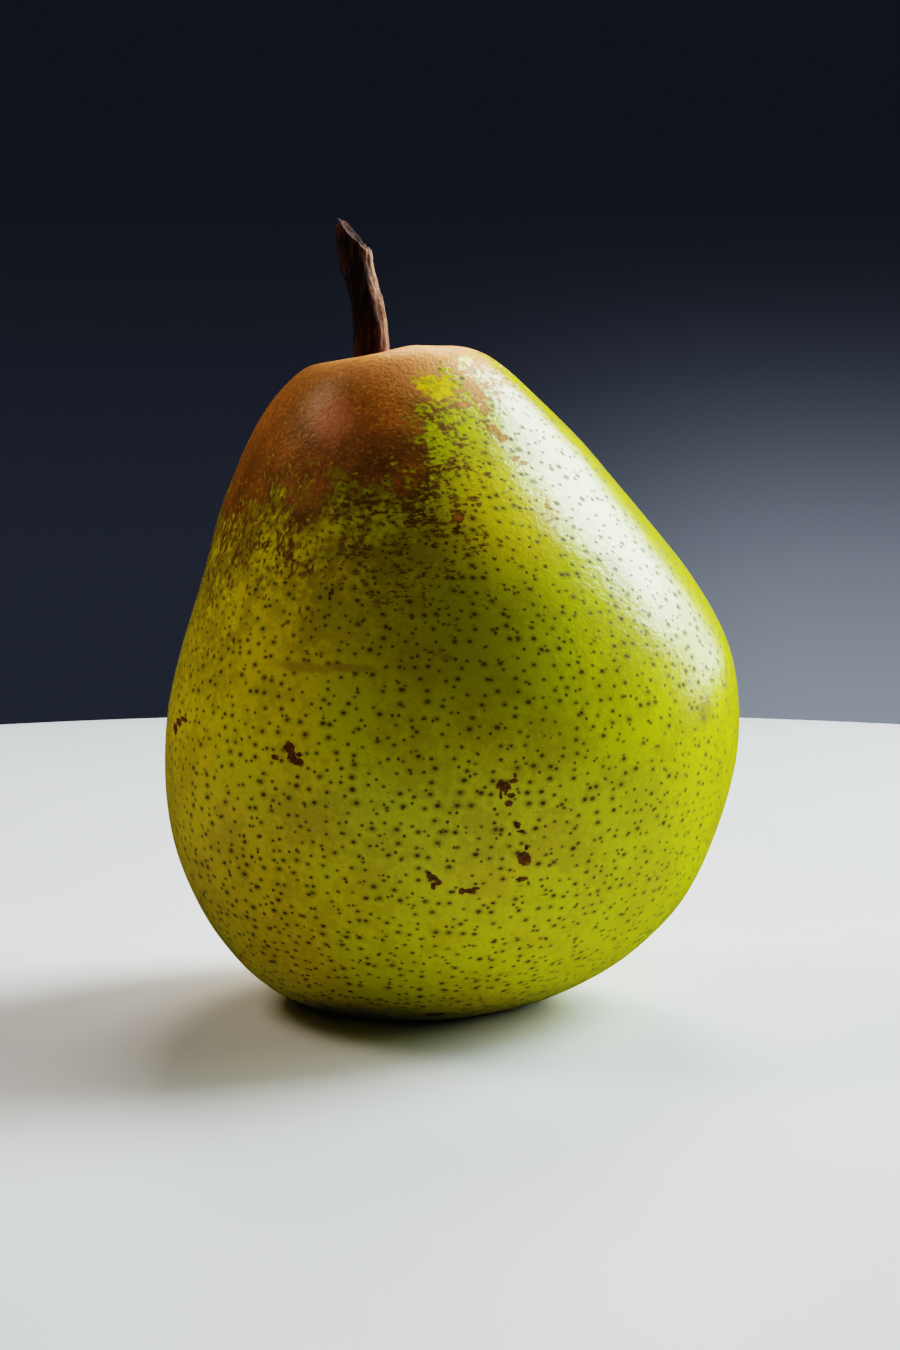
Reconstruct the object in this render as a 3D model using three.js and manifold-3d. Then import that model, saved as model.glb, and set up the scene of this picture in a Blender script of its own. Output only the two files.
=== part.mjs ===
// A ripe pear standing on its blossom end: the fruit, its woody stem and the dried calyx in the
// hollow underneath. Millimetres, +Z up. The stem end leans to the left (-X) and a little back (+Y).
import * as THREE from "three";
import { mergeVertices } from "three/addons/utils/BufferGeometryUtils.js";
import Module from "manifold-3d";

// Driving dimensions of the fruit
const FRUIT_HEIGHT = 77.4; // floor to the middle of the shoulder's rim
const BELLY_RADIUS = 33.9;
const BELLY_HEIGHT = 31.5;
const SIDE_DEPTH = 0.985; // front to back, as a share of the width
const AROUND = 64; // faces round the fruit
const ALONG = 60; // faces from the calyx hollow to the stem hollow

// Half outline of the straight fruit: radius as a share of the belly's, height as a share of the
// fruit's, from the middle of the calyx hollow round the belly to the middle of the stem hollow
const HALF_OUTLINE = [
  [0.0, 0.078],
  [0.11, 0.076],
  [0.19, 0.05],
  [0.25, 0.01],
  [0.3, -0.004],
  [0.38, 0.0],
  [0.49, 0.018],
  [0.65, 0.064],
  [0.838, 0.155],
  [0.953, 0.27],
  [1.0, BELLY_HEIGHT / FRUIT_HEIGHT],
  [0.965, 0.53],
  [0.88, 0.627],
  [0.752, 0.734],
  [0.592, 0.845],
  [0.458, 0.922],
  [0.345, 0.974],
  [0.25, 0.992],
  [0.15, 0.976],
  [0.07, 0.962],
  [0.0, 0.958],
];

// The core line: how far the middle of the fruit lies from the belly's, [height, along X, along Y]
const CORE_LINE = [
  [0, -4.2, 0.4],
  [10, -2.1, 0.2],
  [21, -1.3, 0.1],
  [32, -0.3, 0],
  [48, -0.3, 0],
  [62, -4.4, 0.2],
  [71, -7.1, 0.6],
  [80, -7.6, 0.9],
];
const LEAN = THREE.MathUtils.degToRad(7.5); // tilt of the shoulder's rim
const LEAN_FROM_HEIGHT = 46;
const HIGH_SIDE = THREE.MathUtils.degToRad(-40); // direction of the rim's highest side

// Swellings of the flesh: lobes round the body, its shoulder and its foot, each a share of the
// radius there, and the lip beside the stem
const BODY_LOBES = [
  { count: 2, share: 0.01, turn: 0.9 },
  { count: 3, share: 0.009, turn: -0.6 },
  { count: 5, share: 0.006, turn: 0.3 },
];
const SHOULDER_LOBES = [
  { count: 3, share: 0.035, turn: 0.2 },
  { count: 4, share: 0.015, turn: 1.1 },
];
const SHOULDER_FROM = 58;
const SHOULDER_FULL = 72;
const FOOT_LOBES = [{ count: 5, share: 0.022, turn: 1.0 }];
const FOOT_FULL = 3;
const FOOT_TO = 22;
const LIP_HEIGHT = 1.6;
const LIP_REACH = 6.5; // from the stem hollow's middle to the lip's crest
const LIP_SPREAD = 5.5;
const HOLLOW_RADIUS = 9; // the rings of skin inside this radius gather round the stem
const REST_HEIGHT = 0.12; // the skin below this height is pressed flat where the fruit rests

// Driving dimensions of the stem
const STEM_PATH = [
  [-9.4, 0.3, 70.5],
  [-9.3, 0.5, 76],
  [-9.5, 0.9, 82],
  [-10.6, 1.6, 87.2],
  [-12.0, 2.4, 91.2],
];
const STEM_RADIUS_AT = [2.5, 2.15, 1.95, 1.9, 1.9]; // from the root to the tip, evenly spaced
const STEM_RIDGES = 5;
const STEM_RIDGE_SHARE = 0.06; // height of a ridge, as a share of the radius
const STEM_RIDGE_TWIST = 2; // radians from the root to the tip
const STEM_TIP_SLOPE = 0.72; // the broken end falls away to the right by this much
const STEM_END_POWER = 8; // the higher, the nearer to its end the stem slopes or is lengthened
const STEM_AROUND = 20;
const STEM_ALONG = 22;

// Driving dimensions of the calyx
const CALYX_TOP = 5.7; // the root's end, inside the flesh
const CALYX_ROOT_RADIUS = 2.1;
const CALYX_DISC_RADIUS = 3.0;
const CALYX_DISC_TOP = 4.5;
const CALYX_DISC_BOTTOM = 3.5;
const CALYX_DISC_RIM = 0.2; // the disc's rim and its middle lie this much and twice this deeper
const CALYX_CROWN_RADIUS = 1.65;
const CALYX_AROUND = 20;

// The sepals are pointed blades, spaced evenly round the disc
const SEPALS = 5;
const SEPAL_LENGTH = 4.4;
const SEPAL_ROOT_WIDTH = 2.1;
const SEPAL_FULL_WIDTH = 3.25; // between the control points of its two curved edges
const SEPAL_FULL_AT = 0.55; // where those points lie, as a share of the length
const SEPAL_THICKNESS = 0.65;
const SEPAL_CURL = 1.5; // how far the tip hangs below the root
const SEPAL_ARCH = 0.12; // how fast the blade falls away beside its middle, per millimetre
const SEPAL_START = 1.5; // from the calyx's middle
const SEPAL_TURN = 14.4; // degrees from +X to the first sepal
const SEPAL_STEPS = 6;

// The withered stamens are a tuft of short spikes, spread like the seeds of a flower head
const STAMENS = 11;
const STAMEN_LENGTH = 1.7;
const STAMEN_RADIUS = 0.28;
const STAMEN_SIDES = 5;
const STAMEN_SPREAD = 1.4;
const STAMEN_SPLAY = 0.35; // radians either way
const STAMEN_SEED = 11;
const GOLDEN_ANGLE = Math.PI * (3 - Math.sqrt(5));

const FIT_GAP = 0.3; // between the flesh and what is rooted in it

const wasm = await Module();
wasm.setup();

// A closed three.js geometry as a manifold-3d solid
function toSolid(geometry) {
  const bare = new THREE.BufferGeometry().setAttribute(
    "position",
    (geometry.index ? geometry.toNonIndexed() : geometry).getAttribute("position"),
  );
  const merged = mergeVertices(bare, 1e-4);
  return new wasm.Manifold(
    new wasm.Mesh({
      numProp: 3,
      vertProperties: new Float32Array(merged.attributes.position.array),
      triVerts: new Uint32Array(merged.index.array),
    }),
  );
}

// A manifold-3d solid as a three.js geometry
function toGeometry(solid) {
  const mesh = solid.getMesh();
  const geometry = new THREE.BufferGeometry()
    .setAttribute("position", new THREE.BufferAttribute(mesh.vertProperties, 3))
    .setIndex(new THREE.BufferAttribute(mesh.triVerts, 1));
  geometry.computeVertexNormals();
  return geometry;
}

// Moves every vertex of a geometry by a rule that takes and returns a Vector3
function reshape(geometry, rule) {
  const position = geometry.getAttribute("position");
  const point = new THREE.Vector3();
  for (let i = 0; i < position.count; i += 1) {
    const moved = rule(point.fromBufferAttribute(position, i));
    position.setXYZ(i, moved.x, moved.y, moved.z);
  }
  return geometry;
}

// Repeatable numbers from 0 to 1
function seededRandom(seed) {
  let state = seed;
  return () => {
    state = (state * 16807) % 2147483647;
    return state / 2147483647;
  };
}

// A smooth curve through the rows of a table, read at a value of its first column
function readTable(rows, value, column) {
  const last = rows.length - 1;
  const slopeAt = (i) => {
    const before = rows[Math.max(i - 1, 0)];
    const after = rows[Math.min(i + 1, last)];
    return (after[column] - before[column]) / (after[0] - before[0]);
  };
  const held = THREE.MathUtils.clamp(value, rows[0][0], rows[last][0]);
  const i = Math.min(rows.findLastIndex((row) => row[0] <= held), last - 1);
  const span = rows[i + 1][0] - rows[i][0];
  const t = (held - rows[i][0]) / span;
  const ease = t * t * (3 - 2 * t);
  return THREE.MathUtils.lerp(rows[i][column], rows[i + 1][column], ease)
    + span * t * (1 - t) * (slopeAt(i) * (1 - t) - slopeAt(i + 1) * t);
}

// The straight fruit, turned about Z
function turnedFruit() {
  const outline = new THREE.SplineCurve(
    HALF_OUTLINE.map(([radius, height]) =>
      new THREE.Vector2(radius * BELLY_RADIUS, height * FRUIT_HEIGHT)),
  );
  const points = outline.getPoints(ALONG);
  points[0].x = 0;
  points[ALONG].x = 0;
  return new THREE.LatheGeometry(points, AROUND).rotateX(Math.PI / 2);
}

// How far a set of lobes swells the skin in one direction, as a share of the radius
function swelling(lobes, angle) {
  return lobes.reduce(
    (sum, { count, share, turn }) => sum + share * Math.cos(count * angle + turn), 0);
}

// Bends, swells and flattens the turned fruit into the grown one
function growFruit(point) {
  const angle = Math.atan2(point.y, point.x);
  const radius = Math.hypot(point.x, point.y);
  const height = point.z;
  const atShoulder = THREE.MathUtils.smoothstep(height, SHOULDER_FROM, SHOULDER_FULL);
  const atFoot = 1 - THREE.MathUtils.smoothstep(height, FOOT_FULL, FOOT_TO);
  const reach = radius * (1 + swelling(BODY_LOBES, angle)
    + atShoulder * swelling(SHOULDER_LOBES, angle)
    + atFoot * swelling(FOOT_LOBES, angle));
  const lean = LEAN * THREE.MathUtils.smoothstep(height, LEAN_FROM_HEIGHT, FRUIT_HEIGHT);
  const rise = reach * Math.sin(lean) * Math.cos(angle - HIGH_SIDE);

  const [stemX, stemY] = STEM_PATH[1];
  const gathered = atShoulder * Math.max(0, 1 - radius / HOLLOW_RADIUS);
  const coreX = THREE.MathUtils.lerp(readTable(CORE_LINE, height, 1), stemX, gathered);
  const coreY = THREE.MathUtils.lerp(readTable(CORE_LINE, height, 2), stemY, gathered);
  const x = coreX + reach * Math.cos(angle);
  const y = coreY + reach * Math.sin(angle) * SIDE_DEPTH;

  const lipX = stemX + LIP_REACH * Math.cos(HIGH_SIDE);
  const lipY = stemY + LIP_REACH * Math.sin(HIGH_SIDE);
  const fromLip = Math.hypot(x - lipX, y - lipY) / LIP_SPREAD;
  const lip = LIP_HEIGHT * atShoulder * Math.exp(-fromLip * fromLip);
  const z = height + rise + lip;
  return point.set(x, y, z < REST_HEIGHT ? 0 : z - REST_HEIGHT);
}

// The stem, or with grow above 0 the socket it stands in
function stemSolid(grow) {
  const path = new THREE.CatmullRomCurve3(STEM_PATH.map((p) => new THREE.Vector3(...p)));
  const radii = STEM_RADIUS_AT.map((radius, i) => [i / (STEM_RADIUS_AT.length - 1), radius]);
  const blank = new THREE.CylinderGeometry(1, 1, 1, STEM_AROUND, STEM_ALONG).rotateX(Math.PI / 2);
  const shaped = reshape(blank, (point) => {
    const share = point.z + 0.5;
    const angle = Math.atan2(point.y, point.x);
    const ridge = 1
      + STEM_RIDGE_SHARE * Math.cos(STEM_RIDGES * angle + STEM_RIDGE_TWIST * share);
    const reach = Math.hypot(point.x, point.y) * (readTable(radii, share, 1) * ridge + grow);
    const middle = path.getPointAt(share);
    const along = path.getTangentAt(share);
    const side = along.clone().cross(new THREE.Vector3(1, 0, 0)).normalize();
    const right = side.clone().cross(along);
    const toRight = reach * Math.cos(angle);
    const broken = STEM_TIP_SLOPE * toRight * share ** STEM_END_POWER;
    const deeper = grow * (1 - share) ** STEM_END_POWER;
    return point
      .copy(middle)
      .addScaledVector(right, toRight)
      .addScaledVector(side, reach * Math.sin(angle))
      .addScaledVector(along, -broken - deeper);
  });
  return toSolid(shaped);
}

// One dried sepal: a pointed blade that lies along +X and curls down at its tip
function sepalSolid() {
  const rootHalf = SEPAL_ROOT_WIDTH / 2;
  const fullHalf = SEPAL_FULL_WIDTH / 2;
  const fullAt = SEPAL_FULL_AT * SEPAL_LENGTH;
  const leaf = new THREE.Shape()
    .moveTo(0, -rootHalf)
    .quadraticCurveTo(fullAt, -fullHalf, SEPAL_LENGTH, 0)
    .quadraticCurveTo(fullAt, fullHalf, 0, rootHalf)
    .closePath();
  const blade = new THREE.ExtrudeGeometry(leaf, {
    depth: SEPAL_THICKNESS,
    bevelEnabled: false,
    curveSegments: SEPAL_STEPS,
  });
  const bent = reshape(blade, (point) => {
    point.z -= SEPAL_CURL * (point.x / SEPAL_LENGTH) ** 2 + SEPAL_ARCH * point.y ** 2;
    return point;
  });
  return toSolid(bent);
}

// The disc that the sepals spring from, with its root above it
function calyxDisc() {
  const outline = [
    [0, CALYX_DISC_BOTTOM + 2 * CALYX_DISC_RIM],
    [CALYX_CROWN_RADIUS, CALYX_DISC_BOTTOM],
    [CALYX_DISC_RADIUS, CALYX_DISC_BOTTOM + CALYX_DISC_RIM],
    [CALYX_DISC_RADIUS, CALYX_DISC_TOP],
    [CALYX_ROOT_RADIUS, CALYX_DISC_TOP],
    [CALYX_ROOT_RADIUS, CALYX_TOP],
    [0, CALYX_TOP],
  ];
  const points = outline.map(([radius, height]) => new THREE.Vector2(radius, height));
  return toSolid(new THREE.LatheGeometry(points, CALYX_AROUND).rotateX(Math.PI / 2));
}

// The calyx: its disc and root, five sepals and a tuft of withered stamens
function calyxSolid() {
  let calyx = calyxDisc();
  for (let i = 0; i < SEPALS; i += 1) {
    const sepal = sepalSolid()
      .translate([SEPAL_START, 0, CALYX_DISC_BOTTOM + CALYX_DISC_RIM])
      .rotate([0, 0, SEPAL_TURN + (360 * i) / SEPALS]);
    calyx = calyx.add(sepal);
  }
  const random = seededRandom(STAMEN_SEED);
  const splay = () => (2 * random() - 1) * STAMEN_SPLAY;
  for (let i = 0; i < STAMENS; i += 1) {
    const angle = i * GOLDEN_ANGLE;
    const reach = STAMEN_SPREAD * Math.sqrt((i + 0.5) / STAMENS);
    const stamen = new THREE.ConeGeometry(STAMEN_RADIUS, STAMEN_LENGTH, STAMEN_SIDES)
      .rotateX(-Math.PI / 2)
      .rotateY(splay())
      .rotateX(splay())
      .translate(
        reach * Math.cos(angle), reach * Math.sin(angle), CALYX_DISC_BOTTOM - CALYX_DISC_RIM);
    calyx = calyx.add(toSolid(stamen));
  }
  const [, coreX, coreY] = CORE_LINE[0];
  return calyx.translate([coreX, coreY, 0]);
}

// The hole in the flesh that the calyx's root stands in
function calyxPit() {
  const radius = CALYX_ROOT_RADIUS + FIT_GAP;
  const depth = CALYX_TOP - CALYX_DISC_BOTTOM + FIT_GAP;
  const [, coreX, coreY] = CORE_LINE[0];
  const pit = new THREE.CylinderGeometry(radius, radius, depth, CALYX_AROUND)
    .rotateX(Math.PI / 2)
    .translate(coreX, coreY, CALYX_TOP + FIT_GAP - depth / 2);
  return toSolid(pit);
}

function piece(name, solid, color, roughness) {
  const material = new THREE.MeshStandardMaterial({ color, roughness, metalness: 0 });
  const mesh = new THREE.Mesh(toGeometry(solid), material);
  mesh.name = name;
  return mesh;
}

const fruit = toSolid(reshape(turnedFruit(), growFruit))
  .subtract(stemSolid(FIT_GAP))
  .subtract(calyxPit());

const pear = new THREE.Group();
pear.add(
  piece("fruit", fruit, 0xa8ab12, 0.38),
  piece("stem", stemSolid(0), 0x4a2c1c, 0.8),
  piece("calyx", calyxSolid(), 0x2e2016, 0.9),
);

// The origin lies on the floor, under the middle of the whole pear
const bounds = new THREE.Box3().setFromObject(pear, true);
const middle = bounds.getCenter(new THREE.Vector3());
pear.position.set(-middle.x, -middle.y, -bounds.min.z);

export default pear;
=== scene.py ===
import math
from random import Random

import bmesh
import bpy
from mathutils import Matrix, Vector


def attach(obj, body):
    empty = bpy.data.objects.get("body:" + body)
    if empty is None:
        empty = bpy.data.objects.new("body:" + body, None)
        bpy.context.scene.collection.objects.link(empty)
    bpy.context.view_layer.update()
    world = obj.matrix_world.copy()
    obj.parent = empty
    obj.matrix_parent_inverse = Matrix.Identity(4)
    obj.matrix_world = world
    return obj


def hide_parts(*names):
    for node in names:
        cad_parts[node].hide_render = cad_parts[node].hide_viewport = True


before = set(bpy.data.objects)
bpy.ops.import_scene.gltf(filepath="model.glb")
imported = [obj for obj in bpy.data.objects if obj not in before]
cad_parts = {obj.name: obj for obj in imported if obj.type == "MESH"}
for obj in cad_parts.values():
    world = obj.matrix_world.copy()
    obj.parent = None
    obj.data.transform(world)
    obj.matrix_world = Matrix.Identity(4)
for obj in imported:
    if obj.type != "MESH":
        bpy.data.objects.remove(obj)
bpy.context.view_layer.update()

# Tables and materials are in mm, and a length times MM is in metres
MM = 0.001
STEM_FOOT = Vector((-9.3, 0.5, 74.0)) * MM  # where the stem comes out of the flesh
CALYX_MIDDLE = Vector((-4.2, 0.4, 3.5)) * MM


# Sockets and shader maths

class Wire:
    """One socket of a material. Sums on it add Math nodes, and node() adds any other kind."""

    def __init__(self, tree, socket=None):
        self.tree = tree
        self.socket = socket

    def node(self, kind, settings=None, inputs=None, output=None):
        """Adds a node with its settings and with values or wires in its sockets."""
        made = self.tree.nodes.new(kind)
        for name, setting in (settings or {}).items():
            setattr(made, name, setting)
        for name, value in (inputs or {}).items():
            socket = pick(made.inputs, name)
            if isinstance(value, Wire):
                self.tree.links.new(value.socket, socket)
            else:
                socket.default_value = value
        return Wire(self.tree, pick(made.outputs, output))

    def other(self, output):
        """Another output of the node that this wire comes from."""
        return Wire(self.tree, pick(self.socket.node.outputs, output))

    def maths(self, operation, *values):
        """A Math node on numbers and wires."""
        return self.node("ShaderNodeMath", {"operation": operation}, dict(enumerate(values)))

    def __add__(self, other):
        return self.maths("ADD", self, other)

    __radd__ = __add__

    def __sub__(self, other):
        return self.maths("SUBTRACT", self, other)

    def __rsub__(self, other):
        return self.maths("SUBTRACT", other, self)

    def __mul__(self, other):
        return self.maths("MULTIPLY", self, other)

    __rmul__ = __mul__

    def __truediv__(self, other):
        return self.maths("DIVIDE", self, other)

    def __gt__(self, other):
        return self.maths("GREATER_THAN", self, other)

    def __lt__(self, other):
        return self.maths("LESS_THAN", self, other)


def pick(sockets, name):
    """A node's socket by number, by name among those in use, or the first in use."""
    if isinstance(name, int):
        return sockets[name]
    used = [s for s in sockets if s.enabled]
    return used[0] if name is None else next(s for s in used if s.name == name)


def larger(first, second):
    """The larger of two wires, which lays one mask over another."""
    return first.maths("MAXIMUM", first, second)


def smaller(first, second):
    """The smaller of two wires."""
    return first.maths("MINIMUM", first, second)


def vectors(operation, first, *others):
    """A Vector Math node. A length or a distance comes out as a number."""
    output = "Value" if operation in ("LENGTH", "DISTANCE") else "Vector"
    return first.node(
        "ShaderNodeVectorMath", {"operation": operation}, dict(enumerate((first, *others))), output)


def fade(value, low, high):
    """0 below low, 1 above high, and a soft step between."""
    return value.node(
        "ShaderNodeMapRange", {"interpolation_type": "SMOOTHSTEP"},
        {"Value": value, "From Min": low, "From Max": high})


def fade_out(value, low, high):
    """1 below low, 0 above high."""
    return 1 - fade(value, low, high)


def mix(factor, first, second):
    """The first colour, with as much of the second over it as the factor says."""
    return factor.node(
        "ShaderNodeMix", {"data_type": "RGBA"}, {"Factor": factor, "A": first, "B": second},
        "Result")


def tint(red, green, blue):
    """A solid colour for a socket."""
    return (red, green, blue, 1.0)


def split(place):
    """The x, y and z of a vector."""
    x = place.node("ShaderNodeSeparateXYZ", None, {"Vector": place}, "X")
    return x, x.other("Y"), x.other("Z")


def stretched(place, x, y, z):
    """A place with each of its three numbers multiplied, to stretch a pattern or flatten it."""
    return vectors("MULTIPLY", place, (x, y, z))


def in_mm(pen):
    """The place on the piece, in millimetres."""
    return stretched(pen.node("ShaderNodeTexCoord", output="Object"), 1 / MM, 1 / MM, 1 / MM)


def grain(place, size, detail=2.0, rough=0.5, swirl=0.0):
    """Cloudy noise around 0.5, with clouds about size mm apart."""
    return place.node(
        "ShaderNodeTexNoise", {"noise_dimensions": "3D"},
        {"Vector": place, "Scale": 1 / size, "Detail": detail, "Roughness": rough,
         "Distortion": swirl}, "Fac")


def from_strewn(place, cell):
    """Distance in mm to the nearest of many points strewn about cell mm apart."""
    away = place.node(
        "ShaderNodeTexVoronoi", {"feature": "F1"}, {"Vector": place, "Scale": 1 / cell}, "Distance")
    return away * cell


def new_finish(name):
    """A material with its shader, and a wire to start its nodes from."""
    material = bpy.data.materials.new(name)
    material.use_nodes = True
    shader = material.node_tree.nodes["Principled BSDF"]
    return material, shader, Wire(material.node_tree)


def feed(shader, name, wire):
    """Links what changes over the surface to one of the shader's sockets."""
    wire.tree.links.new(wire.socket, shader.inputs[name])


def set_even(shader, values):
    """Sets what is the same all over the surface on the shader's own sockets."""
    for name, value in values.items():
        shader.inputs[name].default_value = value


def relief(height_mm):
    """The surface normal over relief whose height is in millimetres."""
    return height_mm.node(
        "ShaderNodeBump", None, {"Height": height_mm, "Distance": MM, "Strength": 1.0})


# Skin of the pear

GREEN = tint(0.56, 0.57, 0.003)
YELLOW = tint(0.74, 0.55, 0.003)
BRIGHT_YELLOW = tint(1.0, 0.68, 0.012)
OLIVE = tint(0.30, 0.27, 0.002)
AMBER = tint(0.72, 0.48, 0.003)
RUSSET_THIN = tint(0.165, 0.072, 0.002)
RUSSET_HAZE_AND_SHADE = tint(0.23, 0.175, 0.002)
RUSSET_DEEP = tint(0.40, 0.145, 0.008)
RUSSET_TAN = tint(0.60, 0.19, 0.025)
RUSSET_PAINTED_LIT = tint(0.56, 0.22, 0.008)
RUSSET_SHEEN_PINK = tint(0.80, 0.27, 0.13)
RUSSET_CREST_LIGHT = tint(1.0, 0.36, 0.15)
RUSSET_GOLD = tint(0.76, 0.38, 0.06)
LENTICEL = tint(0.10, 0.060, 0.004)
LENTICEL_HALO = tint(0.26, 0.25, 0.002)
SCAB = tint(0.17, 0.048, 0.008)
SCAB_DARK = tint(0.065, 0.018, 0.005)
SMEAR = tint(0.24, 0.14, 0.02)

BELLY_ROUND = 213.0  # mm round the belly
SKIN_LENGTH = 148.0  # mm along the skin from the calyx to the stem
PAINTED_SHADE_FRONT = (-2.0, -28.0, 48.0)  # middle of the painted shade on the front, olive where it falls dark between the lights, in mm
PAINTED_LIGHT_NECK = (6.0, -22.0, 61.0)  # middle of the painted light on the neck, bright yellow where the window lights it, in mm
RUSSET_FOOT = 64.8  # mm up to its lower edge, under the stem
RUSSET_SIDE = -3.4  # mm to its right edge
RUSSET_CREST = 75.5  # mm up to its edge on the crest, which it covers all along
SCAB_CELL = 15.0  # mm between the loose scabs of the back
LENTICEL_CELL = 1.85  # mm between large lenticels
LENTICEL_SIZE = 0.39  # mm from the middle to the edge of a large one
SMALL_DOTS = (1.5, 0.27)  # mm between the small ones, and from the middle to the edge
FAINT_DOTS = (0.95, 0.19)

# Marks on the skin that faces the front, each a few upright ovals that run together: the place in
# mm (x, z), half the width and half the height
SCABS = [
    # star-shaped scab on the left, with a small one beside it
    (-18.3, 34.8, 0.6, 0.7), (-17.9, 33.8, 0.6, 0.7), (-17.1, 34.1, 0.5, 0.3),
    (-17.2, 33.4, 0.6, 0.4), (-19.9, 33.6, 0.4, 0.3),
    # cluster right of the middle
    (5.7, 31.3, 0.8, 0.7), (5.4, 30.3, 0.2, 0.6), (6.8, 31.8, 0.6, 0.3), (7.0, 32.5, 0.2, 0.3),
    (6.6, 30.2, 0.4, 0.3), (6.3, 29.3, 0.4, 0.4), (7.3, 26.7, 0.4, 0.4), (7.7, 26.0, 0.4, 0.2),
    # round one with a dash above it and one below
    (8.1, 22.8, 0.8, 0.8), (8.3, 24.1, 0.2, 0.4), (7.8, 20.3, 0.7, 0.3),
    # slanted and flat pair in the middle of the belly
    (-2.6, 21.0, 0.3, 0.5), (-2.0, 20.7, 0.4, 0.4), (-1.6, 20.2, 0.4, 0.4),
    (-2.1, 19.7, 0.3, 0.4), (1.1, 19.1, 0.4, 0.4), (2.0, 19.1, 0.7, 0.3), (2.7, 19.4, 0.5, 0.2),
    # curved one at the left edge
    (-32.1, 34.2, 0.3, 0.6), (-31.6, 35.2, 0.4, 0.5), (-30.9, 35.7, 0.5, 0.3),
    # lone ones on the neck and at the foot
    (-13.7, 51.5, 0.2, 0.4), (-13.4, 52.1, 0.2, 0.4), (-2.1, 1.8, 1.4, 0.35),
]
SMEARS = [
    (-1.3, 46.2, 0.3, 0.6), (-0.6, 45.4, 0.8, 0.4), (-16.5, 43.7, 3.5, 0.6),
    (-12.0, 44.0, 3.5, 0.5), (-13.7, 56.6, 1.0, 0.4), (-16.9, 54.7, 0.6, 0.4),
    (-6.5, 54.6, 0.5, 0.4), (29.1, 37.2, 0.9, 2.3),
]
# Loose flecks of russet on the lit side, below its edge, coloured with a lighter lit copy of the
# russet as painted light
FLECKS = [
    (1.9, 74.1, 0.5, 0.4), (2.5, 73.6, 0.4, 0.4), (3.0, 72.7, 0.6, 0.5), (3.7, 71.5, 0.4, 0.6),
    (1.0, 73.5, 0.7, 0.2), (1.5, 72.0, 0.7, 0.3), (4.6, 69.4, 0.5, 0.3), (5.1, 69.0, 0.5, 0.3),
    (5.7, 68.3, 0.6, 0.4), (7.3, 66.1, 0.5, 0.3), (8.3, 65.6, 0.8, 0.3), (10.8, 60.9, 0.4, 0.8),
    (11.3, 59.7, 0.3, 0.4), (0.7, 60.2, 0.5, 0.3),
]
# Bare yellow skin that shows through the russet beside the crest
BARE_SPOTS = [
    (-2.6, 74.4, 1.2, 0.6), (-1.2, 73.7, 0.8, 0.7), (1.6, 76.8, 0.7, 0.3),
]
# Painted sheen: where the russet shows a pink sheen, on its bulge to the left of the stem
PINK_SHEEN_SPOT = [(-14.0, 70.8, 2.6, 2.9)]


def to_nearest(place, ovals):
    """How far the nearest of a list of ovals on the front is: 0 in its middle, 1 on its outline."""
    nearest = None
    for x, z, half_width, half_height in ovals:
        local = vectors(
            "MULTIPLY_ADD", place, (1 / half_width, 0, 1 / half_height),
            (-x / half_width, 0, -z / half_height))
        away = vectors("LENGTH", local)
        nearest = away if nearest is None else smaller(away, nearest)
    return nearest


def ground_colour(place, x, z, middling, fine, grit):
    """Bare skin: green in front, warmer to the left, behind and at the foot, and mottled, with
    painted shade over the middle of the front and painted light on the neck.
    """
    broad = grain(place, 26, 2, 0.5)
    warmth = fade(0.6 - x / 50 + (broad - 0.5) * 1.6 + (middling - 0.5), 0.2, 1.3)
    ground = mix(warmth, GREEN, YELLOW)
    ripeness = fade(0.35 - z / 60 - x / 100 + (broad - 0.5) * 1.5, 0.3, 1.2)
    ground = mix(ripeness * 0.55, ground, AMBER)
    # The olive mottles are the skin's own, and they fade toward the foot as painted light from the
    # floor below
    mottle = fade(middling + (fine - 0.5) * 0.7, 0.4, 0.66)
    ground = mix(mottle * (0.33 + 0.14 * fade(z, 10.0, 40.0)), ground, OLIVE)
    # Painted shade: olive over the middle of the front, between the lit sides
    in_painted_shade = fade_out(vectors("DISTANCE", place, PAINTED_SHADE_FRONT), 2.0, 23.0)
    ground = mix(in_painted_shade * 0.68, ground, OLIVE)
    # Painted light: bright yellow on the neck beside the highlight
    in_painted_light = fade_out(vectors("DISTANCE", place, PAINTED_LIGHT_NECK), 3.0, 12.0)
    ground = mix(in_painted_light * 0.4, ground, BRIGHT_YELLOW)
    ground = mix(fade(grit, 0.45, 0.75) * 0.16, ground, OLIVE)
    return mix(fade(fine, 0.52, 0.7) * 0.22, ground, AMBER)


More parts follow.
